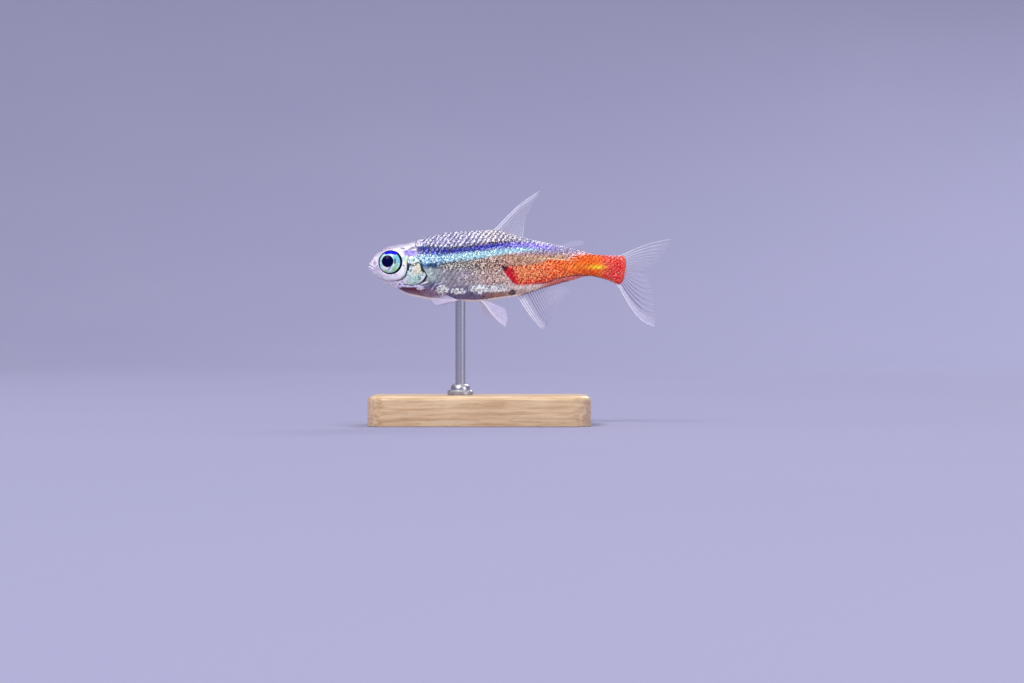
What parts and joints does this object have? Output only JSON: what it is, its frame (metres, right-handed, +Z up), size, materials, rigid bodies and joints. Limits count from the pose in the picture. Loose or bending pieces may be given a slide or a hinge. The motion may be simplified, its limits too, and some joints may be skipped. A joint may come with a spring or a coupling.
{
  "type": "neon tetra model",
  "caption": "Life-size still model of a neon tetra, straight and level as it swims, held by one thin rod over a flat display stand.",
  "frame": {"origin": "middle of the model's box, on the surface that the stand rests on", "axes": "-X towards the snout, +X towards the tail fin, -Y towards the fish's left side, +Z up"},
  "size_m": [0.0303, 0.013, 0.0234],
  "materials": {
    "skin": "wet scaled skin with a blue stripe and a red rear flank",
    "gill_plate": "silvery mint bone under thin skin",
    "eye": "clear wet eye with a turquoise iris",
    "fin": "clear membrane between pale rays",
    "stand_wood": "pale satin-varnished wood",
    "stand_metal": "satin"
  },
  "bodies": {
    "root": {"head": "skin", "lower_jaw": "skin", "trunk": "skin", "tail_stalk": "skin", "gill_cover_left": "gill_plate", "gill_cover_right": "gill_plate", "eye_left": "eye", "eye_right": "eye", "dorsal_fin": "fin", "adipose_fin": "fin", "anal_fin": "fin", "pectoral_fin_left": "fin", "pectoral_fin_right": "fin", "pelvic_fin_left": "fin", "pelvic_fin_right": "fin", "tail_fin_upper_lobe": "fin", "tail_fin_lower_lobe": "fin", "stand_base": "stand_wood", "stand_rod": "stand_metal", "stand_collar": "stand_metal"}
  },
  "joints": []
}
